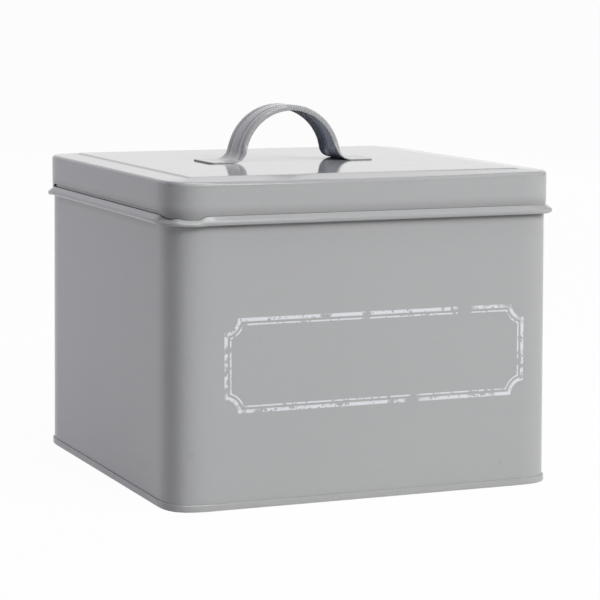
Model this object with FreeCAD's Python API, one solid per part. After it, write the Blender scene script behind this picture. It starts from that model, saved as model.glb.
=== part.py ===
import FreeCAD, Part
import math
import os

# A square household storage tin for dishwasher tablets, in painted tinplate.
# The body is one wrapped sheet with a swaged bead under the lid and a double seam at the floor.
# The lid lifts straight off; a pressed strap handle is spot welded to its raised panel.
# Frame: X runs along the front, Y points to the back, Z is up. The origin is on the floor, at
# the middle of the tin. All lengths are in millimetres.

Vec = FreeCAD.Vector

# ---- tin body -------------------------------------------------------------------------------
width = 190.0            # left wall to right wall, outside faces
depth = 190.0            # front wall to back wall, outside faces
corner_radius = 14.0     # outside radius of the four upright corners
sheet = 0.25             # thickness of the tinplate of body, base and lid
fold_radius = 0.4        # centreline radius of a tight fold in that sheet
bead_level = 128.3       # floor to the root of the bead, on its underside
bead_rise = 4.05         # root to root up the wall
bead_reach = 3.7         # how far the bead's nose stands out from the wall
bead_lip_rise = 0.5      # the underside climbs this much on its way out
bead_lip_reach = 2.5     # from the wall to the bead's lower corner
bead_nose_rise = 2.35    # from the bead's lower root up to its nose
bead_shelf_reach = 1.0   # from the wall to the edge of the level shelf under the lid's skirt
bead_radius = 0.9        # centreline radius of the bead's nose and corners
hem_depth = 4.0          # how far the folded top edge runs back down inside the neck
hem_gap = 0.35           # air inside that fold
lock_width = 5.0         # width of the folded lock seam down the inside of the back wall
lock_layers = 2          # extra thicknesses of sheet that the lock seam adds

# ---- base and its double seam ---------------------------------------------------------------
seam_height = 3.4        # floor to the top of the seam
seam_play = 0.02         # air between the folded layers of the seam
hook_length = 2.2        # length of the body's upturned hook, and of the base's hook behind it
base_recess = 3.0        # floor to the underside of the base panel

# ---- lid ------------------------------------------------------------------------------------
lid_play = 0.7           # neck to the inside face of the skirt
skirt_gap = 0.55         # bead's shelf to the lower edge of the skirt
skirt_height = 15.15     # lower edge of the skirt to the lid's rounded edge
tuck_in = 0.2            # how far the skirt's lower edge leans in towards the neck
tuck_height = 3.0        # height of that leaning edge
tuck_radius = 30.0       # soft bend above it
lid_edge_radius = 2.5    # outside radius between the skirt and the border
rim_gap = 0.9            # top of the neck to the lid's underside; its rounded edge rests there
border_width = 12.4      # skirt to the foot of the raised panel
border_start = 5.0       # middle of the skirt to where the border starts to climb
border_climb = 0.5       # the border climbs this much on its way in
panel_rise = 0.4         # height of the raised panel above the inside of the border
panel_slope = 1.3        # plan width of the soft step up to the panel
panel_corner_radius = 2.5 # plan radius of the foot of that step

# ---- handle ---------------------------------------------------------------------------------
strap = 0.6              # thickness of the handle's steel
handle_length = 85.4     # foot end to foot end
handle_offset = -3.5     # the handle is welded a little to the left of the middle
handle_rise = 27.3       # panel to the top of the arch
arch_radius = 26.1       # outside radius of the arch
foot_bend_radius = 6.0   # centreline radius between each leg and its foot
strap_width = 20.0       # across the arch, over its turned-down edges
edge_depth = 2.4         # depth of the turned-down edges, over the strap's face
edge_radius = 1.3        # outside radius of those edges
foot_width = 25.0        # across the flat feet
foot_corner_radius = 3.0
opening_length = 6.0     # length of each leg, above its bend, where the edges start to open out
groove_spread = 5.0      # middle of the strap to the middle of each pressed groove
groove_width = 4.0
groove_depth = 0.5

leg_sections = 12        # steps in which each leg goes from the formed section to the flat one

# ---- modelling ------------------------------------------------------------------------------
fold_margin = 0.001      # straight left between the two bends of a flat fold
same_point = 1e-6        # points nearer than this are one point

# ---- derived levels -------------------------------------------------------------------------
QUARTER = 90.0
neck_offset = -sheet / 2                              # centreline of the wall, from its outer face
skirt_offset = lid_play + sheet / 2                   # centreline of the skirt
bead_top = bead_level + bead_rise
skirt_edge = bead_top + skirt_gap
lid_top = skirt_edge + skirt_height                   # top of the lid's rounded edge
rim_top = lid_top - sheet - rim_gap
panel_foot = lid_top + border_climb
panel_top = panel_foot + panel_rise
arch_centre = panel_top + handle_rise - arch_radius


def bend(points, radii, thickness):
    """Face of a sheet bent along a centreline of (offset, height) points, in the XZ plane.

    Each inner point has a centreline bend radius; the sheet is half its thickness to each side.
    """
    sides = []
    for side in (1, -1):
        path = shifted(points, side * thickness / 2)
        turns = [turn(points, i) for i in range(1, len(points) - 1)]
        side_radii = [r + (t * side * thickness / 2) for r, t in zip(radii, turns)]
        sides.append(rounded_path(path, side_radii))
    there, back = sides
    ends = [Part.LineSegment(there[-1].Vertexes[-1].Point, back[-1].Vertexes[-1].Point).toShape(),
            Part.LineSegment(back[0].Vertexes[0].Point, there[0].Vertexes[0].Point).toShape()]
    edges = Part.__sortEdges__(there + back + ends)
    return Part.Face(Part.Wire(edges))


def turn(points, i):
    """+1 where the path turns right at point i, as seen with heights up, and -1 where left."""
    (ax, az), (bx, bz), (cx, cz) = points[i - 1:i + 2]
    return 1 if (bx - ax) * (cz - bz) - (bz - az) * (cx - bx) < 0 else -1


def shifted(points, distance):
    """The same path moved sideways, to the left of its direction, with mitred corners."""
    normals = []
    for (ax, az), (bx, bz) in zip(points, points[1:]):
        length = math.hypot(bx - ax, bz - az)
        normals.append((-(bz - az) / length, (bx - ax) / length))
    moved = []
    for i, (x, z) in enumerate(points):
        before = normals[max(i - 1, 0)]
        after = normals[min(i, len(normals) - 1)]
        share = distance / (1 + before[0] * after[0] + before[1] * after[1])
        moved.append((x + share * (before[0] + after[0]), z + share * (before[1] + after[1])))
    return moved


def rounded_path(points, radii):
    """Edges along the points, with a tangent arc of the given radius at each inner point."""
    corners = [Vec(x, 0, z) for x, z in points]
    edges = []
    start = corners[0]
    for i, radius in enumerate(radii, 1):
        here = corners[i]
        to_last = (corners[i - 1] - here).normalize()
        to_next = (corners[i + 1] - here).normalize()
        half_angle = to_last.getAngle(to_next) / 2
        reach = radius / math.tan(half_angle)
        middle = (to_last + to_next).normalize()
        centre = here + middle * (radius / math.sin(half_angle))
        arc_start, arc_end = here + to_last * reach, here + to_next * reach
        if (arc_start - start).Length > same_point:
            edges.append(Part.LineSegment(start, arc_start).toShape())
        edges.append(Part.Arc(arc_start, centre - middle * radius, arc_end).toShape())
        start = arc_end
    edges.append(Part.LineSegment(start, corners[-1]).toShape())
    return edges


def ring(section):
    """Carry a section round the tin: straight along each wall and turned round each corner.

    The section's X is the offset outwards from the outer face of the wall.
    """
    half_x = width / 2 - corner_radius
    half_y = depth / 2 - corner_radius
    straights = [(width / 2, 2 * half_y), (depth / 2, 2 * half_x)]
    centres = [(half_x, half_y), (-half_x, half_y), (-half_x, -half_y), (half_x, -half_y)]
    pieces = []
    for k, (cx, cy) in enumerate(centres):
        wall_offset, length = straights[k % 2]
        side = section.translated(Vec(wall_offset, -length / 2, 0)).extrude(Vec(0, length, 0))
        pieces.append(side.rotated(Vec(), Vec(0, 0, 1), k * QUARTER))
        corner = section.translated(Vec(corner_radius, 0, 0)).revolve(Vec(), Vec(0, 0, 1), QUARTER)
        corner.rotate(Vec(), Vec(0, 0, 1), k * QUARTER)
        pieces.append(corner.translated(Vec(cx, cy, 0)))
    return pieces


def fused(pieces):
    return pieces[0].multiFuse(pieces[1:]).removeSplitter()


def rounded_rectangle(size_x, size_y, radius, level):
    """Closed wire of a rounded rectangle, centred on the tin's axis, at one height."""
    x, y = size_x / 2 - radius, size_y / 2 - radius
    diagonal = radius / math.sqrt(2)
    edges = []
    for sx, sy, start in ((1, 1, 0), (-1, 1, 1), (-1, -1, 2), (1, -1, 3)):
        centre = Vec(sx * x, sy * y, level)
        ends = [(1, 0), (0, 1), (-1, 0), (0, -1), (1, 0)][start:start + 2]
        first, last = [centre + Vec(ex * radius, ey * radius, 0) for ex, ey in ends]
        middle = centre + Vec(sx * diagonal, sy * diagonal, 0)
        if edges:
            edges.append(Part.LineSegment(edges[-1].Vertexes[-1].Point, first).toShape())
        edges.append(Part.Arc(first, middle, last).toShape())
    edges.append(Part.LineSegment(edges[-1].Vertexes[-1].Point, edges[0].Vertexes[0].Point).toShape())
    return Part.Wire(edges)


def plate(offset, level, thickness):
    """Flat sheet that fills the tin's plan out to an offset from the outer wall face."""
    outline = rounded_rectangle(width + 2 * offset, depth + 2 * offset, corner_radius + offset, level)
    return Part.Face(outline).extrude(Vec(0, 0, thickness))


def body_bead():
    """Centreline points and bend radii of the swaged bead, from its lower root to its upper."""
    points = [(neck_offset, bead_level),
              (bead_lip_reach + neck_offset, bead_level + bead_lip_rise),
              (bead_reach + neck_offset, bead_level + bead_nose_rise),
              (bead_shelf_reach + neck_offset, bead_top),
              (neck_offset, bead_top)]
    return points, [fold_radius, bead_radius, bead_radius, bead_radius, fold_radius]


def tin_body():
    """One sheet: seam hook, wall, bead, neck and the hem folded in at the top."""
    floor_fold = sheet + seam_play + sheet / 2        # the body's fold lies on the base's fold
    hook_offset = 1.5 * sheet + 2 * seam_play + neck_offset + sheet / 2
    hem_offset = neck_offset - sheet - hem_gap
    hem_top = rim_top - sheet / 2
    bead_points, bead_radii = body_bead()
    path = [(hook_offset, floor_fold + hook_length), (hook_offset, floor_fold), (neck_offset, floor_fold)]
    path += bead_points
    path += [(neck_offset, hem_top), (hem_offset, hem_top), (hem_offset, hem_top - hem_depth)]
    seam_fold = (hook_offset - neck_offset) / 2 - fold_margin
    hem_fold = (neck_offset - hem_offset) / 2 - fold_margin
    radii = [seam_fold, seam_fold] + bead_radii + [hem_fold, hem_fold]
    pieces = ring(bend(path, radii, sheet))
    pieces.append(lock_seam())
    return fused(pieces)


def lock_seam():
    """The folded side seam, a flat strip that stands on the inside of the back wall."""
    low = base_recess + sheet + fold_radius
    high = bead_level - fold_radius - sheet
    inner_face = depth / 2 - sheet
    thickness = lock_layers * sheet
    strip = Part.makeBox(lock_width, thickness, high - low)
    return strip.translated(Vec(-lock_width / 2, inner_face - thickness, low))


def base_panel():
    """Pressed base: panel, chuck wall inside the body, and the hook folded round the body's."""
    chuck = neck_offset - sheet - seam_play
    cover = neck_offset + sheet + seam_play
    outer = cover + 2 * (sheet + seam_play)
    low = sheet / 2
    high = seam_height - sheet / 2
    inner_end = chuck - 2 * fold_radius - sheet
    path = [(inner_end, base_recess + sheet / 2), (chuck, base_recess + sheet / 2), (chuck, low),
            (outer, low), (outer, high), (cover, high), (cover, high - hook_length)]
    outer_fold = (outer - cover) / 2 - fold_margin
    radii = [fold_radius, fold_radius, fold_radius, outer_fold, outer_fold]
    pieces = ring(bend(path, radii, sheet))
    pieces.append(plate(inner_end, base_recess, sheet))
    return fused(pieces)


def crown(lowered):
    """Solid under the skin of the lid's climbing border and raised panel, or under it lowered."""
    skirt_face = skirt_offset + sheet / 2
    outlines = [(skirt_offset - border_start, corner_radius + skirt_offset - border_start, lid_top),
                (skirt_face - border_width, panel_corner_radius, panel_foot),
                (skirt_face - border_width - panel_slope, panel_corner_radius - panel_slope, panel_top)]
    wires = [rounded_rectangle(width + 2 * offset, depth + 2 * offset, radius, level - lowered)
             for offset, radius, level in outlines]
    return Part.makeLoft(wires, True, True)


def lid():
    """One drawn sheet: skirt with its edge turned in, rounded edge, border and raised panel."""
    level_end = skirt_offset - (lid_edge_radius + border_start) / 2
    border_level = lid_top - sheet / 2
    path = [(skirt_offset - tuck_in, skirt_edge), (skirt_offset, skirt_edge + tuck_height),
            (skirt_offset, border_level), (level_end, border_level)]
    radii = [tuck_radius, lid_edge_radius - sheet / 2]
    pieces = ring(bend(path, radii, sheet))
    pieces.append(plate(level_end, lid_top - sheet, sheet))
    pieces.append(crown(0))
    return fused(pieces).cut(crown(sheet)).removeSplitter()


def leg_bend():
    """Where the arch meets the bend above each foot: the bend's centre and the angle they share.

    The angle is measured at the arch's centre, from straight up to the meeting point.
    """
    up = panel_top + strap / 2 + foot_bend_radius - arch_centre
    out = math.sqrt((arch_radius - strap / 2 + foot_bend_radius) ** 2 - up ** 2)
    return out, arch_centre + up, math.atan2(out, up)


def strap_at(angle, section):
    """Closed wire of a section on the arch, at an angle from the top towards the right foot."""
    normal = Vec(math.sin(angle), 0, math.cos(angle))
    point = Vec(0, 0, arch_centre) + normal * (arch_radius - strap / 2)
    return section_wire(point, normal, section)


def strap_on_bend(angle, section):
    """The same on the bend above the right foot, where the angle falls from the leg's to 0."""
    out, level, _ = leg_bend()
    normal = Vec(math.sin(angle), 0, math.cos(angle))
    point = Vec(out, 0, level) - normal * foot_bend_radius
    return section_wire(point, normal, section)


def section_wire(point, normal, section):
    corners = [point + Vec(0, across, 0) + normal * up for across, up in section]
    return Part.makePolygon(corners + corners[:1])


def bent_strip(length, angle):
    """How far a strip reaches and drops when it is bent evenly, from level, through an angle."""
    if angle == 0:
        return length, 0.0
    return length * math.sin(angle) / angle, length * (1 - math.cos(angle)) / angle


def strap_section(shape):
    """Closed outline of the strap as (across, up) points, for a shape from 0, flat, to 1, formed.

    From the middle out: flat, groove, flat, then an edge strip that turns down by 90 degrees
    times the shape, round the edge radius, and keeps its own length as it does.
    """
    radius = edge_radius - strap / 2
    curl = math.pi / 2 * radius
    drop = edge_depth - edge_radius
    formed_shoulder = strap_width / 2 - edge_radius
    flat_shoulder = foot_width / 2 - curl - drop
    shoulder = flat_shoulder + (formed_shoulder - flat_shoulder) * shape
    floor = -groove_depth * shape
    face = [(groove_spread - groove_width / 2, 0.0), (groove_spread - groove_width / 6, floor),
            (groove_spread + groove_width / 6, floor), (groove_spread + groove_width / 2, 0.0),
            (shoulder, 0.0)]
    down = math.pi / 2 * shape
    for part in (1 / 3, 2 / 3, 1):
        across, drop_here = bent_strip(curl * part, down * part)
        face.append((shoulder + across, -drop_here))
    last_across, last_up = face[-1]
    face.append((last_across + drop * math.cos(down), last_up - drop * math.sin(down)))
    line = [(-v, n) for v, n in reversed(face)] + face
    return shifted(line, strap / 2) + list(reversed(shifted(line, -strap / 2)))


def leg():
    """The right leg: the formed strap opens out flat round its bend and ends in the foot."""
    out, _, leg_angle = leg_bend()
    formed_angle = leg_angle - opening_length / arch_radius
    run_arch = opening_length
    run_bend = foot_bend_radius * leg_angle
    wires = []
    for i in range(leg_sections + 1):
        run = (run_arch + run_bend) * i / leg_sections
        shape = 0.5 + 0.5 * math.cos(math.pi * i / leg_sections)
        section = strap_section(shape)
        if run < run_arch:
            wires.append(strap_at(formed_angle + run / arch_radius, section))
        else:
            wires.append(strap_on_bend(leg_angle - (run - run_arch) / foot_bend_radius, section))
    opening = Part.makeLoft(wires, True, False)
    plan = rounded_rectangle(handle_length, foot_width, foot_corner_radius, panel_top)
    outboard = Part.makeBox(handle_length, foot_width, strap)
    outboard.translate(Vec(out, -foot_width / 2, panel_top))
    foot = Part.Face(plan).extrude(Vec(0, 0, strap)).common(outboard)
    return [opening, foot]


def handle():
    """Pressed strap: a formed arch whose edges flatten out into two feet, spot welded down."""
    _, _, leg_angle = leg_bend()
    formed_angle = leg_angle - opening_length / arch_radius
    left_end = Part.Face(strap_at(-formed_angle, strap_section(1.0)))
    arch = left_end.revolve(Vec(0, 0, arch_centre), Vec(0, 1, 0), math.degrees(2 * formed_angle))
    right = leg()
    left = [piece.rotated(Vec(), Vec(0, 0, 1), 2 * QUARTER) for piece in right]
    return fused([arch] + right + left).translated(Vec(handle_offset, 0, 0))


os.makedirs("parts", exist_ok=True)
nodes = {"tin_body": tin_body, "base_panel": base_panel, "lid": lid, "handle": handle}
for name, make in nodes.items():
    shape = make()
    box = shape.optimalBoundingBox()
    print(name, shape.ShapeType, len(shape.Solids), "valid", shape.isValid(),
          "volume %.0f" % shape.Volume, "z %.2f to %.2f" % (box.ZMin, box.ZMax),
          "x %.2f to %.2f" % (box.XMin, box.XMax))
    shape.exportStep("parts/" + name + ".step")
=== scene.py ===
import math

import bmesh
import bpy
import numpy as np
from mathutils import Matrix, Vector


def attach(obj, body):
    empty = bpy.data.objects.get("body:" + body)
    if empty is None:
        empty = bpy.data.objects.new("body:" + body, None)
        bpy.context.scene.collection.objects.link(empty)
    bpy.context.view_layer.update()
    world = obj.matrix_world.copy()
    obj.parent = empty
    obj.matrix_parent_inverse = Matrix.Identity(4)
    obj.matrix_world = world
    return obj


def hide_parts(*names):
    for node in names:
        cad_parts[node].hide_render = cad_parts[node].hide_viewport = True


# The looks of a painted square storage tin: body with its bead and double seam, base, lift-off
# lid with a raised panel, and a pressed strap handle. Every piece is a surface worked out from
# the sizes below, in millimetres, and takes the place of its construction solid. X runs along the
# front to the right, Y to the back and Z up; the front is the side towards negative Y.

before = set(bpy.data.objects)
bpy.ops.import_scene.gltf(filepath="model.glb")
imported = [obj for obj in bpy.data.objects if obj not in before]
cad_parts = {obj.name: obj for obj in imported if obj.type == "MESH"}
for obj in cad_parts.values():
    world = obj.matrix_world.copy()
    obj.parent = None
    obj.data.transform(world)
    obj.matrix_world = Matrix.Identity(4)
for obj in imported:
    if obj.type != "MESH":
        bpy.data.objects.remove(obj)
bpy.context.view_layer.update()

MM = 0.001               # one millimetre, in metres

# ---- the tin's plan and sheet, in millimetres -------------------------------------------------
HALF = 95.0              # middle to the outside of a wall
CORNER = 14.0            # outside radius of the upright corners
EASE = 1.6               # how much further the walls' ease into a corner reaches than its radius
SIDE_CUTS = (1.6, 3.2, 5.4, 9, 15, 25, 38, 55)   # end of a corner to each cut on the side by it
FLARE = 0.8              # how much further out the walls stand at the floor than at the bead
SHEET = 0.25             # thickness of the tinplate
FOLD = 0.4               # centreline radius of a tight bend in it
FOLD_MARGIN = 0.001      # straight left between the two bends of a flat fold
WALL = -SHEET / 2        # centreline of the wall, as an offset from its outside

# ---- body: bead, neck, hem and lock seam ------------------------------------------------------
BEAD_LEVEL = 128.3       # floor to the bead's lower root
BEAD_RISE = 4.05         # lower root to upper root
BEAD_REACH = 3.515       # wall to the bead's nose
BEAD_LIP_RISE = 0.2      # how much the underside climbs on its way out
BEAD_LIP_REACH = 3.05    # wall to the bead's lower corner
BEAD_NOSE_RISE = 1.85    # lower root up to the nose
BEAD_SHELF_REACH = 1.0   # wall to the edge of the level shelf under the skirt
BEAD_RADIUS = 0.9        # centreline radius of the bead's lower and upper corner
BEAD_NOSE_RADIUS = 1.25  # centreline radius of its nose
BEAD_TOP = BEAD_LEVEL + BEAD_RISE
HEM_DEPTH = 4.0          # how far the folded top edge runs back down inside the neck
HEM_GAP = 0.35           # air inside that fold
LOCK_WIDTH = 5.0         # width of the folded side seam inside the back wall
LOCK_THICKNESS = 0.5     # how far it stands in from the wall

# ---- base and its double seam -----------------------------------------------------------------
SEAM_HEIGHT = 3.4        # floor to the top of the seam
SEAM_PLAY = 0.02         # air between its folded layers
SEAM_SLOPE = 0.45        # how much lower the seam's top is outside than at the wall
SEAM_FOLD = 0.16         # centreline radius of its two upper bends
HOOK_LENGTH = 2.2        # length of the body's hook in the seam, and of the base's behind it
BASE_RECESS = 3.0        # floor to the underside of the base panel

# ---- lid --------------------------------------------------------------------------------------
LID_PLAY = 0.7           # wall's outside to the inside of the skirt
SKIRT_GAP = 0.55         # bead's shelf to the skirt's lower edge
SKIRT_HEIGHT = 15.03     # skirt's lower edge to the top of the lid's rounded edge
TUCK_IN = 0.12           # how far the skirt's lower edge leans in
TUCK_HEIGHT = 3.0        # height of that leaning edge
TUCK_RADIUS = 30.0       # soft bend above it
LID_EDGE_RADIUS = 1.9    # outside radius between the skirt and the border
LID_EDGE_END = 0.4       # how far past that radius the rim's section runs in
RIM_GAP = 0.9            # top of the neck to the lid's underside
BORDER_WIDTH = 12.4      # skirt to the foot of the raised panel
BORDER_START = 2.4       # middle of the skirt to where the border starts to climb
BORDER_CLIMB = 0.62      # how much the border climbs on its way in
PANEL_RISE = 0.4         # height of the raised panel above the inside of the border
PANEL_SLOPE = 2.1        # plan width of the soft step up to the panel
PANEL_CORNER = 2.9       # plan radius of the foot of that step
SKIRT = LID_PLAY + SHEET / 2
SKIRT_EDGE = BEAD_TOP + SKIRT_GAP
LID_TOP = SKIRT_EDGE + SKIRT_HEIGHT
RIM_TOP = LID_TOP - SHEET - RIM_GAP
PANEL_TOP = LID_TOP + BORDER_CLIMB + PANEL_RISE
STEP_FOOT = HALF + SKIRT + SHEET / 2 - BORDER_WIDTH   # middle of the lid to the step's foot

# ---- handle -----------------------------------------------------------------------------------
STRAP = 0.6              # thickness of the handle's steel
HANDLE_LENGTH = 85.4     # foot end to foot end
HANDLE_OFFSET = -3.5     # the handle sits a little to the left of the middle
HANDLE_RISE = 27.28      # panel to the top of the arch
ARCH_RADIUS = 26.1       # outside radius of the arch
FOOT_BEND = 6.0          # centreline radius between each leg and its foot
STRAP_WIDTH = 20.0       # across the arch, over its turned-down edges
FOOT_WIDTH = 25.0        # across the flat feet
FOOT_CORNER = 3.0        # plan radius of the feet's corners
EDGE_DEPTH = 2.4         # depth of the turned-down edges
EDGE_RADIUS = 1.3        # outside radius of those edges
OPENING = 6.0            # length of each leg, above its bend, where the edges start to open out
GROOVE_SPREAD = 5.0      # middle of the strap to the middle of each pressed groove
GROOVE_WIDTH = 4.0
GROOVE_DEPTH = 0.35
ARCH_CENTRE = PANEL_TOP + HANDLE_RISE - ARCH_RADIUS

# ---- unevenness of the pressed sheet ----------------------------------------------------------
# each corner's value, in the order back right, back left, front left, front right
BEAD_DIPS = (1.1, 1.2, 1.6, 0.5)        # how far the bead dips there
BEAD_SPREADS = (0.0, 0.0, 0.0, 1.8)     # how much smaller the bead's plan radius is there
SKIRT_DIPS = (1.1, 1.7, 1.6, 0.75)      # how far the skirt's edge dips there
FRONT_LOW = 0.3          # how much lower the skirt's edge is rolled at the front
LEFT_HIGH = 1.0          # how much higher it is rolled on the left
LEFT_FADE = (13.0, 7.0)  # back left corner's middle to where that starts to fade, and is gone
DIP_REACH = (9.3, 10.9)  # how far a corner's dip runs back and on from the corner's middle
DIP_SOFTNESS = (2.2, 1.1)               # how gently it starts and ends
SWELLING_SHARE = 0.35    # how much of the dip's depth the swelling in its middle takes back
SWELLING_REACH = 2.3     # how far that swelling reaches to each side
SWELLING_PLACE = 0.1     # how far on from the corner's middle it is
EDGE_SAG = 0.35          # how far the lid's front edge is pressed down at its left end
EDGE_BOW = 0.5           # how much further it is pressed down in its middle
STEP_LEAN = 0.1          # how much the panel's front step shrinks to the left and grows to the right
STEP_LEFT = 0.28         # how much higher the panel's left step is

# ---- print and knocks on the front ------------------------------------------------------------
FRAME_MIDDLE = (4.25, 65.0)             # across and up, of the blank label frame
FRAME_HALF = (75.0, 21.5)               # half its width and height
FRAME_NOTCH = 6.5                       # radius of its notched corners
WIDE_RULE = (0.8, 0.8)                  # edge of the frame to the rule's middle, and half its width
THIN_RULE = (3.0, 0.35)
KNOCKS = ((-86.8, 25.8, 2.4), (67.6, 11.6, 2.2))   # across, up and reach of each knock
PRINT_DEPTH, KNOCK_DEPTH = 0.5, 10      # how far behind the front's face each is still drawn


# ---- sheet-metal surfaces ---------------------------------------------------------------------
def bent(points, radii, turn_step=7.5):
    """Centreline and left-hand normals of a sheet bent along (offset, height) points.

    Each inner corner gives way to an arc of its own radius, tangent to the runs before and
    after it: the arc's centre lies one radius to the side of the turn, and the normal turns
    evenly round it, in steps of at most turn_step degrees.
    """
    points = np.array(points, float)
    runs = np.diff(points, axis=0)
    along = runs / np.hypot(runs[:, 0], runs[:, 1])[:, None]
    across = np.stack([-along[:, 1], along[:, 0]], 1)
    line, normal = [points[:1]], [across[:1]]
    for corner, radius, a, b, n in zip(points[1:-1], radii, along, along[1:], across):
        angle = math.atan2(a[0] * b[1] - a[1] * b[0], a @ b)
        side = math.copysign(1.0, angle)
        centre = corner - a * radius * math.tan(abs(angle) / 2) + n * side * radius
        t = np.linspace(0, angle, max(3, math.ceil(abs(math.degrees(angle)) / turn_step) + 1))
        cos, sin = np.cos(t), np.sin(t)
        turned = np.stack([n[0] * cos - n[1] * sin, n[0] * sin + n[1] * cos], 1)
        line.append(centre - side * radius * turned)
        normal.append(turned)
    return np.vstack(line + [points[-1:]]), np.vstack(normal + [across[-1:]])


def direction(normal):
    """The way a sheet runs, a quarter turn to the right of its left-hand normals."""
    return np.stack([normal[:, 1], -normal[:, 0]], 1)


def cut_edge(point, normal, along, thickness, steps=4):
    """Half circle round a sheet's cut edge, from its left face over to its right face."""
    t = np.linspace(0, math.pi, steps + 1)[1:-1, None]
    return point + thickness / 2 * (np.cos(t) * normal + np.sin(t) * along)


def both_faces(line, normal, thickness):
    """Closed outline of a sheet: out along its left face and back along its right face."""
    along = direction(normal)
    left, right = line + normal * thickness / 2, line - normal * thickness / 2
    return np.vstack([left, cut_edge(line[-1], normal[-1], along[-1], thickness),
                      right[::-1], cut_edge(line[0], -normal[0], -along[0], thickness)])


def extra_cuts(line, normal, heights, offset):
    """Adds cuts at the given heights to the upright run of a centreline at one offset."""
    at = np.searchsorted(line[:, 1], heights[0])
    more = np.stack([np.full(len(heights), offset), heights], 1)
    same = np.tile([-1.0, 0.0], (len(heights), 1))
    return np.insert(line, at, more, 0), np.insert(normal, at, same, 0)


def eased_corner(steps=36):
    """Quarter of the curve x**p + y**p = 1 and its outward normals, from (1, 0) to (0, 1).

    The curve takes up EASE times the length of a plain arc. Its power p is the one that carries
    it through the same middle point, so that the walls run into the corner with no sudden bend.
    """
    middle = (math.sqrt(2) * (EASE - 1) + 1) / EASE
    power = math.log(2) / math.log(math.sqrt(2) / middle)
    t = np.linspace(0, 1, steps + 1)
    angle = math.pi / 2 * t ** 2 * (3 - 2 * t)
    normal = np.clip(np.stack([np.cos(angle), np.sin(angle)], 1), 0, 1)
    grown = normal ** (1 / (power - 1))
    return grown / ((grown ** power).sum(1) ** (1 / power))[:, None], normal


def walk_round():
    """The way round the plan: square corner, curve, outward normal, run and place of each column.

    A point of any rounded square is its square corner times (half width less the eased reach of
    its radius) plus its curve times that reach. On the corners the curve turns and the square
    corner stays; on the sides it is the other way about, with cuts that crowd to the corners.
    The run is the way along the wall from the middle of the nearest corner, and the place counts
    the corners from 0 at the back right, with the way along each side as its decimals.
    """
    bend, outward = eased_corner()
    steps = np.hypot(*np.diff(bend, axis=0).T) * EASE * CORNER
    bend_run = np.concatenate([[0], np.cumsum(steps)]) - steps.sum() / 2
    side = 2 * (HALF - EASE * CORNER)
    near = np.array(SIDE_CUTS)
    cuts = np.concatenate([near, [side / 2], side - near[::-1]])
    side_run = np.where(cuts <= side / 2, bend_run[-1] + cuts, cuts - side - bend_run[-1])
    squares, curves, normals, runs, places = [], [], [], [], []
    corners = np.array([(1, 1), (-1, 1), (-1, -1), (1, -1)], float)
    turns = [np.array([[c, s], [-s, c]]) for c, s in ((1, 0), (0, 1), (-1, 0), (0, -1))]
    for k, turn in enumerate(turns):
        here, after = corners[k], corners[(k + 1) % 4]
        flat = np.tile(np.array([0.0, 1.0]) @ turn, (len(cuts), 1))
        squares += [np.tile(here, (len(bend), 1)), here + (after - here) * (cuts / side)[:, None]]
        curves += [bend @ turn, flat]
        normals += [outward @ turn, flat]
        runs += [bend_run, side_run]
        places += [np.full(len(bend), k), k + cuts / side]
    return (np.vstack(squares), np.vstack(curves), np.vstack(normals),
            np.concatenate(runs), np.concatenate(places))


SQUARE, CURVE, NORMAL, RUN, PLACE = walk_round()
FRONT = np.clip(-NORMAL[:, 1], 0, 1)    # how far each column's outward normal points to the front
LEFT = np.clip(-NORMAL[:, 0], 0, 1)     # and to the left
NEAREST = np.rint(PLACE).astype(int)    # the nearest corner, from 0 at the back right round to 4
BACK_LEFT = 1


def at_corners(values):
    """Value of each column, from the four corners' values and straight between two corners."""
    return np.interp(PLACE, np.arange(5), np.append(values, values[0]))


def corner_dip(depths):
    """Drop of a pressed edge round the plan, in millimetres, from its depth at the four corners.

    A trough as long as the corner, whose soft ends are halves of a tanh curve, and a low bell
    curve in its middle where the metal gathers.
    """
    trough = 0.5 * (np.tanh((RUN + DIP_REACH[0]) / DIP_SOFTNESS[0])
                    - np.tanh((RUN - DIP_REACH[1]) / DIP_SOFTNESS[1]))
    swelling = SWELLING_SHARE * np.exp(-((RUN - SWELLING_PLACE) / SWELLING_REACH) ** 2)
    return np.array(depths + depths[:1])[NEAREST] * (trough - swelling)


def skirt_sag():
    """Drop of the skirt's edge where the lid was rolled unevenly: low in front, high on the left.

    Each share is a power of how far the outward normal points that way. The left side comes
    down again, evenly, before it runs into the back left corner.
    """
    whole, gone = LEFT_FADE
    rolled = np.where(NEAREST == BACK_LEFT, np.clip((RUN - gone) / (whole - gone), 0, 1), 1)
    return FRONT_LOW * FRONT ** 2 - LEFT_HIGH * (LEFT ** 20 * rolled)


def flared(level):
    """How far out the walls stand at a level: FLARE at the floor, evenly less up to the bead."""
    return FLARE * np.clip(1 - level / BEAD_LEVEL, 0, 1)


def plan_rows(half, radius, level, drop=0.0):
    """Grid of points: each row is a rounded square of its own half width, radius and level.

    The radius may also differ by column, and the drop is taken off the level of each point.
    """
    reach = (EASE * (radius + 0 * PLACE[:, None]))[..., None]
    flat = SQUARE[:, None] * (half[None, :, None] - reach) + CURVE[:, None] * reach
    return np.dstack([flat, level[None] - drop + 0 * reach[..., 0]])


def plate_rows(reach, level, shares):
    """Rows of a flat plate: the rounded square of its rim, scaled evenly by each share."""
    return (HALF + reach) * shares, (CORNER + reach) * shares, np.full(len(shares), level)


def section_rows(outline):
    """Rows along an outline of (offset, height) points carried round the plan."""
    return HALF + outline[:, 0], CORNER + outline[:, 0], outline[:, 1]


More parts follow.
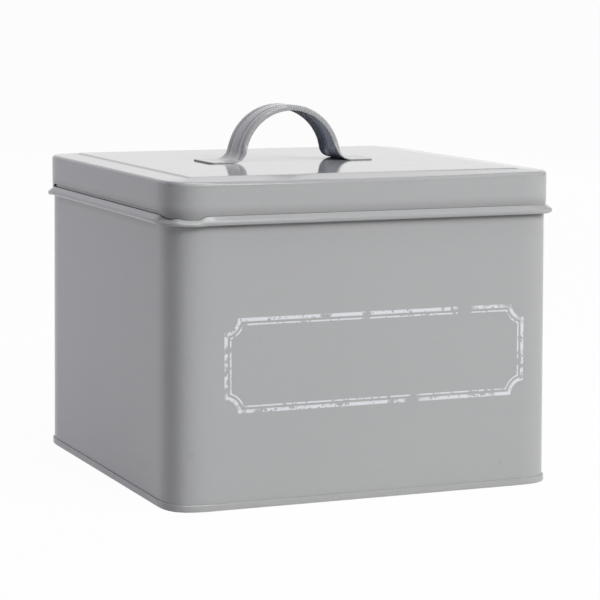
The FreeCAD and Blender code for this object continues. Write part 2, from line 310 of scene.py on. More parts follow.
# ---- meshes -----------------------------------------------------------------------------------
def grid_faces(columns, rows, wrap_rows):
    """Quads of a grid that closes on itself round its columns, and along its rows if asked."""
    last = rows if wrap_rows else rows - 1
    i, j = np.meshgrid(np.arange(columns), np.arange(last), indexing="ij")
    i2, j2 = (i + 1) % columns, (j + 1) % rows
    return np.stack([i * rows + j, i2 * rows + j, i2 * rows + j2, i * rows + j2], -1).reshape(-1, 4)


def volume_of(points, quads):
    """Signed volume: the sum over all triangles of a . (b x c) / 6."""
    triangles = points[np.concatenate([quads[:, [0, 1, 2]], quads[:, [0, 2, 3]]])]
    return np.einsum("ij,ij->", triangles[:, 0], np.cross(triangles[:, 1], triangles[:, 2])) / 6


def merge_doubles(mesh):
    """Joins the points that meet at a pole or a thinned edge, and drops what has no area."""
    work = bmesh.new()
    work.from_mesh(mesh)
    bmesh.ops.remove_doubles(work, verts=work.verts, dist=1e-7)
    bmesh.ops.dissolve_degenerate(work, edges=work.edges, dist=1e-8)
    work.to_mesh(mesh)
    work.free()
    mesh.update()


def sheet_piece(name, points, wrap_rows, body, node, material, crease=32.0):
    """Puts a grid of points in millimetres into a closed, smooth-shaded piece that rides a body.

    Its faces are turned outwards by the sign of their volume, and edges sharper than the crease,
    in degrees, stay sharp.
    """
    columns, rows = points.shape[:2]
    points = points.reshape(-1, 3) * MM
    quads = grid_faces(columns, rows, wrap_rows)
    if volume_of(points, quads) < 0:
        quads = quads[:, ::-1]
    mesh = bpy.data.meshes.new(name)
    mesh.from_pydata(points, [], quads)
    mesh.update()
    piece = bpy.data.objects.new(name, mesh)
    bpy.context.scene.collection.objects.link(piece)
    merge_doubles(mesh)
    mesh.shade_smooth()
    mesh.set_sharp_from_angle(angle=math.radians(crease))
    mesh.materials.append(material)
    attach(piece, body)
    if node:
        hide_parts(node)
    return piece


# ---- the tin's pieces -------------------------------------------------------------------------
def body_points():
    """Body sheet: hook in the seam, wall, bead, neck and the hem folded in at the top.

    The bead's dips at the corners grow from nothing 5 mm under it to their whole depth at its
    top, and fade again up the neck.
    """
    floor_fold = 1.5 * SHEET + SEAM_PLAY
    hook = 1.5 * SHEET + 2 * SEAM_PLAY
    hem = WALL - SHEET - HEM_GAP
    hem_top = RIM_TOP - SHEET / 2
    nose_level = BEAD_LEVEL + BEAD_NOSE_RISE
    path = [(hook, floor_fold + HOOK_LENGTH), (hook, floor_fold), (WALL, floor_fold),
            (WALL, BEAD_LEVEL), (BEAD_LIP_REACH + WALL, BEAD_LEVEL + BEAD_LIP_RISE),
            (BEAD_REACH + WALL, nose_level), (BEAD_SHELF_REACH + WALL, BEAD_TOP), (WALL, BEAD_TOP),
            (WALL, hem_top), (hem, hem_top), (hem, hem_top - HEM_DEPTH)]
    seam_fold, hem_fold = (hook - WALL) / 2 - FOLD_MARGIN, (WALL - hem) / 2 - FOLD_MARGIN
    radii = [seam_fold, seam_fold, FOLD, BEAD_RADIUS, BEAD_NOSE_RADIUS, BEAD_RADIUS, FOLD,
             hem_fold, hem_fold]
    half, radius, level = section_rows(both_faces(*bent(path, radii), SHEET))
    dip_share = np.interp(level, [BEAD_LEVEL - 5, BEAD_LEVEL - 0.6, nose_level, BEAD_TOP, RIM_TOP - 6],
                          [0.0, 0.28, 0.65, 1.0, 0.0])
    spread = at_corners(BEAD_SPREADS)[:, None] * np.clip((half - HALF) / BEAD_REACH, 0, 1)
    return plan_rows(half + flared(level), radius - spread, level,
                     corner_dip(BEAD_DIPS)[:, None] * dip_share)


def base_points():
    """Base: flat panel, chuck wall inside the body, and the hook folded round the body's.

    It flares with the walls at the floor: the outer half of the panel takes the flare up evenly.
    """
    chuck, cover = WALL - SHEET - SEAM_PLAY, WALL + SHEET + SEAM_PLAY
    outer = cover + 2 * (SHEET + SEAM_PLAY)
    high = SEAM_HEIGHT - SHEET / 2
    inner_end = chuck - 2 * FOLD - SHEET
    panel = BASE_RECESS + SHEET / 2
    path = [(inner_end, panel), (chuck, panel), (chuck, SHEET / 2), (outer, SHEET / 2),
            (outer, high - SEAM_SLOPE), (cover, high), (cover, high - HOOK_LENGTH)]
    line, normal = bent(path, [FOLD, FOLD, FOLD, SEAM_FOLD, SEAM_FOLD])
    edge = cut_edge(line[-1], normal[-1], direction(normal)[-1], SHEET)
    rim = np.vstack([line + normal * SHEET / 2, edge, (line - normal * SHEET / 2)[::-1]])
    shares = np.array([0, 0.04, 0.2, 0.5, 0.8, 0.95])
    parts = [plate_rows(inner_end, panel + SHEET / 2, shares), section_rows(rim),
             plate_rows(inner_end, panel - SHEET / 2, shares[::-1])]
    half, radius, level = (np.concatenate(rows) for rows in zip(*parts))
    return plan_rows(half + flared(0) * np.clip(2 * half / HALF - 1, 0, 1), radius, level)


def lid_rim():
    """Outline of the rounded edge and the skirt, as (offset, height) points.

    It runs from the edge's inner end down the outside, round the skirt's cut edge and back up
    the inside.
    """
    border = LID_TOP - SHEET / 2
    path = [(SKIRT - TUCK_IN, SKIRT_EDGE), (SKIRT, SKIRT_EDGE + TUCK_HEIGHT), (SKIRT, border),
            (SKIRT - LID_EDGE_RADIUS - LID_EDGE_END, border)]
    line, normal = bent(path, [TUCK_RADIUS, LID_EDGE_RADIUS - SHEET / 2], 6.0)
    skirt_cuts = np.linspace(SKIRT_EDGE + 2 * TUCK_HEIGHT, border - LID_EDGE_RADIUS - 1, 5)
    line, normal = extra_cuts(line, normal, skirt_cuts, SKIRT)
    edge = cut_edge(line[0], normal[0], -direction(normal)[0], SHEET)
    return np.vstack([(line - normal * SHEET / 2)[::-1], edge, line + normal * SHEET / 2])


def lid_top_rows():
    """Half width, radius, height and lean share of the lid's rows from its middle to its edge.

    The flat panel's rows shrink evenly to a point. The height follows half a cosine wave down
    the step, and falls evenly down the border to nothing where its climb starts. The step's
    lean fades out with it up the step, and down the border.
    """
    t = np.linspace(0, 1, 9)
    step_half, step_radius = STEP_FOOT - PANEL_SLOPE * t, PANEL_CORNER - PANEL_SLOPE * t
    step_height = BORDER_CLIMB + PANEL_RISE * (0.5 - 0.5 * np.cos(math.pi * t))
    shares = np.array([0, 0.06, 0.25, 0.5, 0.75, 0.9, 0.96, 0.985])
    inner_end = SKIRT - LID_EDGE_RADIUS - LID_EDGE_END
    blend = np.linspace(0.03, 0.98, 32)
    border_half = STEP_FOOT + (HALF + inner_end - STEP_FOOT) * blend
    border_radius = PANEL_CORNER + (CORNER + inner_end - PANEL_CORNER) * blend
    climb_start = HALF + SKIRT - BORDER_START
    climb = np.clip((climb_start - border_half) / (climb_start - STEP_FOOT), 0, 1)
    half = np.concatenate([step_half[-1] * shares, step_half[::-1], border_half])
    radius = np.concatenate([step_radius[-1] * shares, step_radius[::-1], border_radius])
    height = np.concatenate([np.full(len(shares), BORDER_CLIMB + PANEL_RISE), step_height[::-1],
                             BORDER_CLIMB * climb])
    lean = np.concatenate([np.zeros(len(shares)), 0.5 + 0.5 * np.cos(math.pi * t[::-1]), climb])
    return half, radius, height, lean


def lid_drop(half, level, lean_share):
    """How far each point of the lid lies under its row's level.

    Three drops add up. The skirt's edge dips at the corners and sags, wholly at the edge and not
    at all 8 mm up. The foot of the panel's step lies lower where the step is higher. The front
    edge is pressed down, wholly at the lid's edge, and not at all at the step's foot nor halfway
    down the skirt.
    """
    edge_share = np.interp(level, [SKIRT_EDGE, SKIRT_EDGE + TUCK_HEIGHT, SKIRT_EDGE + 8], [1.0, 0.85, 0.0])
    edge = corner_dip(SKIRT_DIPS) + skirt_sag()
    across = SQUARE[:, 0]
    lean = STEP_LEAN * across * FRONT + STEP_LEFT * LEFT ** 2
    pressed = FRONT * (EDGE_SAG * (1 - across) / 2 + EDGE_BOW * (1 - across ** 2))
    pressed_share = (np.interp(level, [SKIRT_EDGE + 7, LID_TOP - 2.5], [0.0, 1.0])
                     * np.interp(half, [STEP_FOOT, HALF + SKIRT - 2], [0.0, 1.0]))
    return edge[:, None] * edge_share + lean[:, None] * lean_share + pressed[:, None] * pressed_share


def lid_points():
    """Lid: raised panel, step, climbing border, rounded edge and skirt with its edge turned in.

    The rows run from the middle of the panel out and down the outside, round the skirt's cut
    edge and back up the inside, where each is one thickness of sheet under its outer one.
    """
    top_half, top_radius, top_height, top_lean = lid_top_rows()
    rim_half, rim_radius, rim_level = section_rows(lid_rim())
    half = np.concatenate([top_half, rim_half, top_half[::-1]])
    radius = np.concatenate([top_radius, rim_radius, top_radius[::-1]])
    level = np.concatenate([LID_TOP + top_height, rim_level, LID_TOP - SHEET + top_height[::-1]])
    lean_share = np.concatenate([top_lean, np.zeros(len(rim_level)), top_lean[::-1]])
    return plan_rows(half, radius, level, lid_drop(half, level, lean_share))


def strap_line():
    """The right half of the strap's middle line, from the top of the arch to the foot's end.

    It is an arc of the arch, an arc the other way round the foot's bend and a level run. Gives
    the points, the normals, how far the section is formed (1) or opened out flat (0), and the
    half width's share, which the foot's rounded corners cut back at the very end. The forming
    falls by half a cosine wave from where the leg starts to open to the end of its bend.
    """
    arch = ARCH_RADIUS - STRAP / 2
    bend_rise = PANEL_TOP + STRAP / 2 + FOOT_BEND - ARCH_CENTRE
    out = math.sqrt((arch + FOOT_BEND) ** 2 - bend_rise ** 2)
    leg = math.atan2(out, bend_rise)
    formed = leg - OPENING / ARCH_RADIUS
    on_arch = np.concatenate([np.linspace(0, formed, 44), np.linspace(formed, leg, 12)[1:]])
    on_bend = np.linspace(leg, 0, 22)[1:]
    corner_start = HANDLE_LENGTH / 2 - FOOT_CORNER
    round_corner = FOOT_CORNER * np.sin(np.linspace(0, math.pi / 2, 10)[1:])
    on_foot = np.concatenate([np.linspace(out, corner_start, 9)[1:], corner_start + round_corner])
    x = np.concatenate([arch * np.sin(on_arch), out - FOOT_BEND * np.sin(on_bend), on_foot])
    z = np.concatenate([ARCH_CENTRE + arch * np.cos(on_arch),
                        ARCH_CENTRE + bend_rise - FOOT_BEND * np.cos(on_bend),
                        np.full(len(on_foot), PANEL_TOP + STRAP / 2)])
    angle = np.concatenate([on_arch, on_bend, np.zeros(len(on_foot))])
    opening_run = OPENING + FOOT_BEND * leg
    run = np.concatenate([ARCH_RADIUS * (on_arch - formed), OPENING + FOOT_BEND * (leg - on_bend),
                          np.full(len(on_foot), opening_run)])
    shape = 0.5 + 0.5 * np.cos(math.pi * np.clip(run / opening_run, 0, 1))
    past = np.clip(x - corner_start, 0, FOOT_CORNER)
    cut_back = FOOT_CORNER - np.sqrt(np.maximum(FOOT_CORNER ** 2 - past ** 2, 0))
    width = 1 - cut_back / (FOOT_WIDTH / 2)
    return np.stack([x, z], 1), np.stack([np.sin(angle), np.cos(angle)], 1), shape, width


def strap_across(shape):
    """Across and up places of the strap's middle skin, for each amount of forming.

    From the middle out: flat, a groove of one whole cosine wave, flat, then an edge strip of
    constant length that turns down round the edge radius by 90 degrees times the forming.
    """
    tiny = 1e-9
    radius = EDGE_RADIUS - STRAP / 2
    curl, drop = math.pi / 2 * radius, EDGE_DEPTH - EDGE_RADIUS
    shape = shape[:, None]
    shoulder = (FOOT_WIDTH / 2 - curl - drop) * (1 - shape) + (STRAP_WIDTH / 2 - EDGE_RADIUS) * shape
    near = GROOVE_SPREAD - GROOVE_WIDTH / 2
    t = np.linspace(0, 1, 17)[None]
    middle = np.linspace(0, near, 5)[None, :-1] + 0 * shape
    groove = near + GROOVE_WIDTH * t + 0 * shape
    groove_up = -GROOVE_DEPTH * shape * (0.5 - 0.5 * np.cos(2 * math.pi * t))
    rest = near + GROOVE_WIDTH + (shoulder - near - GROOVE_WIDTH) * np.linspace(0, 1, 4)[None, 1:]
    bend = np.linspace(0, 1, 12)[None, 1:]
    angle = np.maximum(math.pi / 2 * shape * bend, tiny)
    curled = shoulder + curl * bend * np.sin(angle) / angle
    curled_up = -curl * bend * (1 - np.cos(angle)) / angle
    down = np.maximum(math.pi / 2 * shape, tiny)
    fall = drop * np.linspace(0, 1, 5)[None, 1:]
    across = np.concatenate([middle, groove, rest, curled, curled[:, -1:] + fall * np.cos(down)], 1)
    up = np.concatenate([0 * middle, groove_up, 0 * rest, curled_up,
                         curled_up[:, -1:] - fall * np.sin(down)], 1)
    return np.concatenate([-across[:, :0:-1], across], 1), np.concatenate([up[:, :0:-1], up], 1)


def strap_skin():
    """The strap's middle skin from foot to foot, and the normal of its upper face at each point.

    Rows run along the strap and columns across it. A point is the middle line's, plus its place
    across, plus its place up along the line's normal.
    """
    point, normal, shape, width = strap_line()
    mirror = np.array([-1.0, 1.0])
    point = np.vstack([point[:0:-1] * mirror, point])
    normal = np.vstack([normal[:0:-1] * mirror, normal])
    shape, width = np.concatenate([shape[:0:-1], shape]), np.concatenate([width[:0:-1], width])
    across, up = strap_across(shape)
    skin = np.dstack([point[:, :1] + normal[:, :1] * up, across * width[:, None],
                      point[:, 1:] + normal[:, 1:] * up])
    face = np.cross(np.gradient(skin, axis=0), np.gradient(skin, axis=1))
    face /= np.linalg.norm(face, axis=2)[..., None]
    face *= np.sign(face[len(face) // 2, face.shape[1] // 2, 2])
    return skin, face


def with_round_ends(skin, face):
    """The skin and its normals run on round each foot's cut end, with the half thickness there.

    The row at each end moves in by half a thickness. Rows then follow past it at the sine of four
    even angles, and the half thickness falls with their cosine to nothing.
    """
    angles = np.linspace(0, math.pi / 2, 5)[1:]
    to_right = np.array([1.0, 0.0, 0.0])
    skin[0] += to_right * STRAP / 2
    skin[-1] -= to_right * STRAP / 2
    past = (STRAP / 2 * np.sin(angles))[:, None, None] * to_right
    half = STRAP / 2 * np.concatenate([np.cos(angles[::-1]), np.ones(len(skin)), np.cos(angles)])
    skin = np.concatenate([skin[0] - past[::-1], skin, skin[-1] + past])
    face = np.concatenate([np.repeat(face[:1], len(angles), 0), face,
                           np.repeat(face[-1:], len(angles), 0)])
    return skin, face, half[:, None, None]


def handle_points():
    """Handle: the strap's middle skin, given its thickness to both sides and rounded cut edges.

    Columns run round the section and rows along the strap. Each long edge is a half circle from
    the upper face's normal through the way across to the lower face's.
    """
    skin, face, half = with_round_ends(*strap_skin())
    across = np.gradient(skin, axis=1)
    across /= np.linalg.norm(across, axis=2)[..., None]
    turns = np.linspace(0, math.pi, 6)[1:-1]
    right = [skin[:, -1:] + half * (face[:, -1:] * math.cos(a) + across[:, -1:] * math.sin(a))
             for a in turns]
    left = [skin[:, :1] - half * (face[:, :1] * math.cos(a) + across[:, :1] * math.sin(a))
            for a in turns]
    lower = (skin - half * face)[:, ::-1]
    loop = np.concatenate([skin + half * face] + right + [lower] + left, 1)
    loop[..., 0] += HANDLE_OFFSET
    return loop.transpose(1, 0, 2)


def lock_seam_points():
    """Lock seam: a strip with soft shoulders up the inside of the back wall.

    Its outline is a flat oval, the fourth power of the width plus that of the thickness, drawn
    at each height and closed to a line at both ends.
    """
    low, high = BASE_RECESS + SHEET + FOLD, BEAD_LEVEL - FOLD - SHEET
    t = np.linspace(0, 2 * math.pi, 49)[:-1]
    x = LOCK_WIDTH / 2 * np.sign(np.cos(t)) * np.abs(np.cos(t)) ** 0.5
    y = LOCK_THICKNESS / 2 * np.sign(np.sin(t)) * np.abs(np.sin(t)) ** 0.5
    size = np.array([0, 0.6, 0.9, 1, 1, 0.9, 0.6, 0])
    level = np.array([low, low + 0.1, low + 0.5, low + 2, high - 2, high - 0.5, high - 0.1, high])
    middle = HALF - SHEET - LOCK_THICKNESS / 2 + flared(level)
    return np.dstack([x[:, None] * size, middle + y[:, None] * size, level + 0 * x[:, None]])


# ---- paint ------------------------------------------------------------------------------------
class Nodes:
    """Short ways to add the nodes of one material. Places and lengths in it are in metres."""

    def __init__(self, name):
        self.material = bpy.data.materials.new(name)
        self.material.use_nodes = True
        self.tree = self.material.node_tree
        self.tree.nodes.clear()
        self.out = self.add("ShaderNodeOutputMaterial")
        self.shader = self.add("ShaderNodeBsdfPrincipled")
        self.link(self.shader.outputs[0], self.out.inputs["Surface"])
        self.place = self.add("ShaderNodeTexCoord").outputs["Object"]
        self.apart = None

    def add(self, kind, **settings):
        """A new node of one kind, with its settings."""
        node = self.tree.nodes.new(kind)
        for key, value in settings.items():
            setattr(node, key, value)
        return node

    def link(self, source, target):
        self.tree.links.new(source, target)

    def put(self, value, socket):
        """A number or colour is set on the socket, and a socket is linked to it."""
        if isinstance(value, bpy.types.NodeSocket):
            self.link(value, socket)
        else:
            socket.default_value = value

    def finish(self, **inputs):
        """Sets or links the shader's inputs, whose names are written with a _ for a space."""
        for name, value in inputs.items():
            self.put(value, self.shader.inputs[name.replace("_", " ")])

    def math(self, operation, a, b=0.0, c=0.0):
        """One sum of up to three numbers or sockets."""
        node = self.add("ShaderNodeMath", operation=operation)
        for value, socket in zip((a, b, c), node.inputs):
            self.put(value, socket)
        return node.outputs[0]

    def length(self, a, b):
        """Square root of the sum of two squares."""
        return self.math("SQRT", self.math("ADD", self.math("MULTIPLY", a, a), self.math("MULTIPLY", b, b)))

    def noise(self, scale, detail=2.0, roughness=0.5):
        """Even noise through the piece, about 0 to 1, with its scale per metre."""
        node = self.add("ShaderNodeTexNoise")
        self.link(self.place, node.inputs["Vector"])
        node.inputs["Scale"].default_value = scale
        node.inputs["Detail"].default_value = detail
        node.inputs["Roughness"].default_value = roughness
        return node.outputs["Fac"]

    def ramp(self, value, low, high, to_low=0.0, to_high=1.0, smooth=False):
        """Carries a value from the range low to high over to another range, and holds its ends."""
        node = self.add("ShaderNodeMapRange", interpolation_type="SMOOTHSTEP" if smooth else "LINEAR")
        for number, socket in zip((value, low, high, to_low, to_high), node.inputs):
            self.put(number, socket)
        return node.outputs[0]

    def axes(self):
        """The three parts of the place on the piece, in metres."""
        if not self.apart:
            self.apart = self.add("ShaderNodeSeparateXYZ")
            self.link(self.place, self.apart.inputs[0])
        return self.apart.outputs

    def band(self, value, middle, half, soft=0.00008):
        """One within half a width of the middle, zero outside, with a soft edge."""
        off = self.math("ABSOLUTE", self.math("SUBTRACT", value, middle))
        return self.ramp(off, half - soft, half + soft, 1.0, 0.0)

    def mix(self, share, a, b):
        """Colour a, with a share of colour b in it."""
        node = self.add("ShaderNodeMix", data_type="RGBA")
        self.put(share, node.inputs["Factor"])
        self.put(a, node.inputs[6])
        self.put(b, node.inputs[7])
        return node.outputs[2]

    def bump(self, height, distance, strength=1.0, onto=None):
        """Normal of a surface raised by a height of 1 by the distance, on top of another normal."""
        node = self.add("ShaderNodeBump")
        node.inputs["Strength"].default_value = strength
        node.inputs["Distance"].default_value = distance
        self.link(height, node.inputs["Height"])
        if onto:
            self.link(onto, node.inputs["Normal"])
        return node.outputs[0]


GREY = (0.385, 0.388, 0.392)
SHADE_SHARE = 0.45                     # how light the painted shade is, next to the clean paint
PRINT_WHITE = (0.69, 0.70, 0.735, 1.0)
# blue-grey painted shade for the handle's inner face
UNDERSIDE_SHADE = (0.33, 0.37, 0.44, 1.0)


def shade(colour, share):
    """A colour made lighter or darker by one share, with full opacity."""
    return tuple(c * share for c in colour) + (1.0,)


def grey_paint(name, roughness, wave):
    """Smooth grey paint on tinplate: slow drifts of tone, fine mottle, orange peel, a soft wave.

    Noise moves the roughness a little to both sides. The wave is the strength of the sheet's own
    unevenness. Gives the paint's nodes, colour, roughness and normal.
    """
    paint = Nodes(name)
    drift = paint.noise(9.0, 3.0)
    mottle = paint.noise(420.0, 4.0, 0.6)
    tone = paint.math("ADD", paint.ramp(drift, 0.3, 0.7, 0.3, 0.7), paint.ramp(mottle, 0.3, 0.7, -0.15, 0.15))
    colour = paint.mix(tone, shade(GREY, 0.97), shade(GREY, 1.03))
    rough = paint.ramp(paint.noise(70.0, 4.0, 0.6), 0.3, 0.7, roughness - 0.02, roughness + 0.03)
    peel = paint.bump(paint.noise(900.0, 2.0), 0.00001, 0.12)
    sheet_wave = paint.bump(paint.noise(14.0, 1.0), 0.0009, wave, peel)
    paint.finish(Base_Color=colour, Roughness=rough, Normal=sheet_wave, IOR=1.5)
    return paint, colour, rough, sheet_wave


def label_frame(paint):
    """Blank label frame printed on the front: two rules round a rectangle with notched corners.

    The distance to the frame's edge is the larger of the distance to the rectangle and the notch
    radius less the distance to the nearest corner. Each rule is a band of that distance.
    """
    x, y, z = paint.axes()
    over = []
    for place, middle, half in zip((x, z), FRAME_MIDDLE, FRAME_HALF):
        off = paint.math("ABSOLUTE", paint.math("SUBTRACT", place, middle * MM))
        over.append(paint.math("SUBTRACT", off, half * MM))
    notched = paint.math("SUBTRACT", FRAME_NOTCH * MM, paint.length(*over))
    edge = paint.math("MAXIMUM", paint.math("MAXIMUM", *over), notched)
    wide, thin = (paint.band(edge, -inset * MM, half * MM) for inset, half in (WIDE_RULE, THIN_RULE))
    chips = paint.ramp(paint.noise(330.0, 5.0, 0.65), 0.40, 0.47)
    bites = paint.ramp(paint.noise(75.0, 2.0), 0.34, 0.40)
    worn = paint.math("MULTIPLY", chips, bites)
    front = paint.math("LESS_THAN", y, (PRINT_DEPTH - HALF) * MM)
    return paint.math("MULTIPLY", paint.math("MULTIPLY", paint.math("MAXIMUM", wide, thin), worn), front)


def knocks(paint):
    """Two shallow round knocks low on the front wall, each a soft share of the way to its middle."""
    x, y, z = paint.axes()
    found = None
    for middle_x, middle_z, reach in KNOCKS:
        across, up = paint.math("SUBTRACT", x, middle_x * MM), paint.math("SUBTRACT", z, middle_z * MM)
        away = paint.length(across, up)
        knock = paint.ramp(away, 0.0, reach * MM, 1.0, 0.0, smooth=True)
        found = paint.math("MAXIMUM", found, knock) if found else knock
    front = paint.math("LESS_THAN", y, (KNOCK_DEPTH - HALF) * MM)
    return paint.math("MULTIPLY", found, front)


def body_paint():
    """Body: painted shade round the bead, and the print on the front is worn.

    The painted shade under the bead is a wide soft band under the crease with a close dark one
    in it. A dark line of painted shade runs round just above the bead, in the gap behind the
    skirt's edge. The knocks are darkened a little, as painted shade in the dents.
    line runs round just above the bead, behind the skirt's edge.
    """
    paint, colour, rough, normal = grey_paint("body_grey_paint", roughness=0.10, wave=0.04)
    z = paint.axes()["Z"]
    crease = BEAD_LEVEL * MM
    # painted shade: a soft dark band down the wall under the bead's crease, where its shadow falls
    wide = paint.ramp(z, crease - 0.0045, crease - 0.0006, 0.0, 0.35, smooth=True)
    close = paint.ramp(z, crease - 0.0014, crease - 0.0002, 0.0, 0.65, smooth=True)
    below = paint.ramp(z, crease - 0.0001, crease + 0.0002, 1.0, 0.0)
    # painted shade: a dark line round the neck, in the gap between the bead and the skirt's edge
    gap_shade = paint.band(z, BEAD_TOP * MM + 0.0012, 0.0009, 0.0003)
    painted_shade = paint.math("ADD", paint.math("MULTIPLY", paint.math("ADD", wide, close), below),
                       paint.math("MULTIPLY", gap_shade, 0.8))
    knocked = knocks(paint)
    # the knocks are darkened a little too: painted shade in the dents
    dark = paint.math("ADD", painted_shade, paint.math("MULTIPLY", knocked, 0.12))
    colour = paint.mix(dark, colour, shade(GREY, SHADE_SHARE))
    printed = label_frame(paint)
    height = paint.math("SUBTRACT", paint.math("MULTIPLY", printed, 0.05), knocked)
    paint.finish(Base_Color=paint.mix(printed, colour, PRINT_WHITE),
                 Roughness=paint.math("ADD", rough, paint.math("MULTIPLY", printed, 0.25)),
                 Normal=paint.bump(height, 0.0001, 0.5, normal))
    return paint.material


def lid_paint():
    """Lid: glossier, with painted shade darkening the skirt towards its cut edge, more on the left."""
    paint, colour, *_ = grey_paint("lid_grey_paint", roughness=0.07, wave=0.005)
    x, _, z = paint.axes()
    edge = SKIRT_EDGE * MM
    # painted shade: the skirt is darker towards its cut edge, and more so on the left side
    towards_edge = paint.ramp(z, edge - 0.0008, edge + 0.0048, 1.0, 0.0, smooth=True)
    edge_shade = paint.math("MULTIPLY", towards_edge, paint.ramp(x, -0.094, -0.080, 0.75, 0.42, smooth=True))
    paint.finish(Base_Color=paint.mix(edge_shade, colour, shade(GREY, SHADE_SHARE)))
    return paint.material


def handle_paint():
    """Handle: the side towards the arch's middle is darkened to a blue-grey, as painted shade.

    How far a point's face looks outward is its place from the arch's middle times its normal.
    """
    paint, colour, *_ = grey_paint("handle_grey_paint", roughness=0.16, wave=0.03)
    x, _, z = paint.axes()
    across = paint.math("SUBTRACT", x, HANDLE_OFFSET * MM)
    up = paint.math("SUBTRACT", z, ARCH_CENTRE * MM)
    facing = paint.add("ShaderNodeSeparateXYZ")
    paint.link(paint.add("ShaderNodeNewGeometry").outputs["Normal"], facing.inputs[0])
    outward = paint.math("ADD", paint.math("MULTIPLY", across, facing.outputs["X"]),
                         paint.math("MULTIPLY", up, facing.outputs["Z"]))
    # painted shade: the faces towards the arch's middle are darkened to a blue-grey
    inside = paint.ramp(outward, -0.002, -0.014, 0.0, 0.9)
    paint.finish(Base_Color=paint.mix(inside, colour, UNDERSIDE_SHADE))
    return paint.material


body_grey, lid_grey, handle_grey = body_paint(), lid_paint(), handle_paint()
sheet_piece("body_sheet", body_points(), True, "tin", "tin_body", body_grey)
sheet_piece("base_sheet", base_points(), False, "tin", "base_panel", body_grey)
sheet_piece("lid_sheet", lid_points(), False, "lid", "lid", lid_grey)
sheet_piece("handle_strap", handle_points(), False, "lid", "handle", handle_grey)
sheet_piece("lock_seam_strip", lock_seam_points(), False, "tin", None, body_grey)


# ---- floor, light and camera, in metres -------------------------------------------------------
CAMERA_TURN = -22.76     # degrees round the tin from straight in front, to the left
CAMERA_RISE = 7.55       # degrees up
CAMERA_ROLL = 0.249      # degrees
CAMERA_AIM = (0.005577, 0.0, 0.079628)
CAMERA_DISTANCE = 1.1718
CAMERA_LENS = 142.5744   # millimetres, on a sensor 36 mm wide
CAMERA_SENSOR = 36.0
LAMP_AIM = (0, 0, 0.08)
WHITE = (1, 1, 1, 1)


def studio_white():
    """White floor and backdrop that stay white to the camera and in gloss, and keep the shadow.

    In front of the tin the floor's whiteness in gloss fades out, as the edge of a table would.
    """
    white = Nodes("studio_white")
    white.tree.nodes.remove(white.shader)
    diffuse = white.add("ShaderNodeBsdfDiffuse")
    diffuse.inputs["Color"].default_value = (0.65, 0.65, 0.65, 1)
    glow = white.add("ShaderNodeEmission")
    glow.inputs["Color"].default_value = WHITE
    glow.inputs["Strength"].default_value = 1.0
    path = white.add("ShaderNodeLightPath")
    table = white.ramp(white.axes()["Y"], -1.6, -0.5, 0.0, 0.95, smooth=True)
    in_gloss = white.math("MAXIMUM", path.outputs["Is Glossy Ray"], path.outputs["Is Transmission Ray"])
    seen = white.math("MAXIMUM", white.math("MULTIPLY", path.outputs["Is Camera Ray"], 0.97),
                      white.math("MULTIPLY", in_gloss, table))
    join = white.add("ShaderNodeMixShader")
    white.link(seen, join.inputs[0])
    white.link(diffuse.outputs[0], join.inputs[1])
    white.link(glow.outputs[0], join.inputs[2])
    white.link(join.outputs[0], white.out.inputs["Surface"])
    return white.material


def sweep_floor():
    """Floor that turns up into a backdrop: a level run, a quarter circle and an upright run."""
    front, reach, rise, radius, half = -4.0, 3.0, 4.0, 1.5, 6.0
    t = np.linspace(0, math.pi / 2, 24)
    y = np.concatenate([[front], reach + radius * np.sin(t), [reach + radius]])
    z = np.concatenate([[0.0], radius - radius * np.cos(t), [rise]])
    x = np.array([-half, half])
    points = np.dstack([x[:, None] + 0 * y, y + 0 * x[:, None], z + 0 * x[:, None]]).reshape(-1, 3)
    count = len(y)
    j = np.arange(count - 1)
    mesh = bpy.data.meshes.new("studio_floor")
    mesh.from_pydata(points, [], np.stack([j, j + count, j + count + 1, j + 1], 1))
    mesh.shade_smooth()
    mesh.materials.append(studio_white())
    floor = bpy.data.objects.new("studio_floor", mesh)
    bpy.context.scene.collection.objects.link(floor)


def softbox(name, place, width, height, watts, in_gloss=True, tint=(1, 1, 1)):
    """Even panel lamp, white or nearly so, that faces the middle of the tin."""
    light = bpy.data.lights.new(name, "AREA")
    light.shape, light.size, light.size_y = "RECTANGLE", width, height
    light.energy, light.color = watts, tint
    lamp = bpy.data.objects.new(name, light)
    lamp.location = place
    lamp.rotation_euler = (Vector(LAMP_AIM) - Vector(place)).to_track_quat("-Z", "Y").to_euler()
    lamp.visible_glossy = in_gloss
    bpy.context.scene.collection.objects.link(lamp)


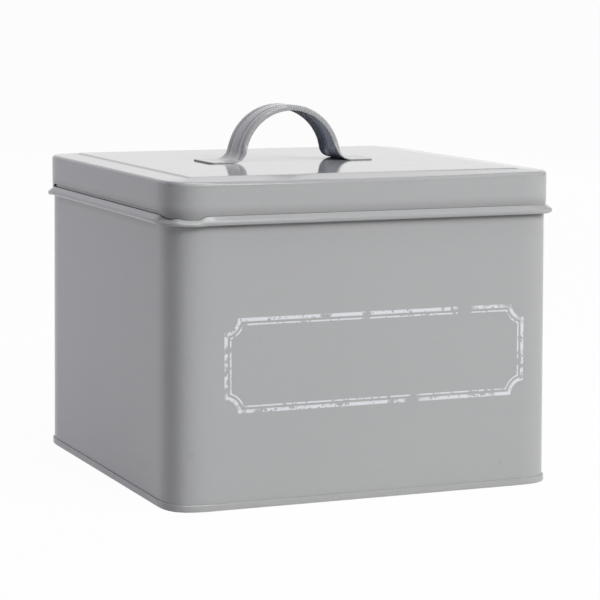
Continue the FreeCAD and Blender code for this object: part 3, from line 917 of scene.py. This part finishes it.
def daylight():
    """White surround for the camera, and a low even level for all the rest."""
    world = bpy.data.worlds.new("daylight")
    world.use_nodes = True
    tree = world.node_tree
    tree.nodes.clear()
    join = tree.nodes.new("ShaderNodeMixShader")
    for strength, socket in ((0.05, join.inputs[1]), (1.0, join.inputs[2])):
        glow = tree.nodes.new("ShaderNodeBackground")
        glow.inputs["Color"].default_value = WHITE
        glow.inputs["Strength"].default_value = strength
        tree.links.new(glow.outputs[0], socket)
    tree.links.new(tree.nodes.new("ShaderNodeLightPath").outputs["Is Camera Ray"], join.inputs[0])
    tree.links.new(join.outputs[0], tree.nodes.new("ShaderNodeOutputWorld").inputs["Surface"])
    bpy.context.scene.world = world


def camera():
    """Camera in front and to the left, a little above the lid, and level within a quarter degree."""
    turn, rise, roll = (math.radians(angle) for angle in (CAMERA_TURN, CAMERA_RISE, CAMERA_ROLL))
    back = Vector((math.sin(turn) * math.cos(rise), -math.cos(turn) * math.cos(rise), math.sin(rise)))
    level = Vector((math.cos(turn), math.sin(turn), 0.0))
    upright = back.cross(level)
    right = level * math.cos(roll) + upright * math.sin(roll)
    up = upright * math.cos(roll) - level * math.sin(roll)
    data = bpy.data.cameras.new("camera")
    data.sensor_width, data.lens = CAMERA_SENSOR, CAMERA_LENS
    data.clip_start, data.clip_end = 0.05, 60.0
    eye = bpy.data.objects.new("camera", data)
    facing = Matrix((right, up, back)).transposed().to_4x4()
    eye.matrix_world = Matrix.Translation(Vector(CAMERA_AIM) + back * CAMERA_DISTANCE) @ facing
    bpy.context.scene.collection.objects.link(eye)
    bpy.context.scene.camera = eye


sweep_floor()
daylight()
softbox("key_front", (0.30, -1.35, 1.07), 0.60, 0.60, 6.9)
softbox("fill_front_right", (1.84, -2.32, 1.52), 1.6, 1.44, 68.0, in_gloss=False)
softbox("overhead_front", (0.0, -0.35, 1.7), 1.0, 0.8, 11.0)
softbox("fill_rear_left", (-0.55, 0.55, 0.40), 0.4, 0.4, 0.7, in_gloss=False, tint=(0.6, 0.58, 1.0))
softbox("left_high", (-0.8, 0.45, 1.4), 0.5, 0.5, 2.0, in_gloss=False, tint=(0.75, 0.72, 1.0))
softbox("fill_rear_right", (1.0, 1.6, 0.9), 1.2, 1.0, 9.0, in_gloss=False)
camera()

bpy.context.scene.view_settings.view_transform = "Standard"
bpy.context.view_layer.update()
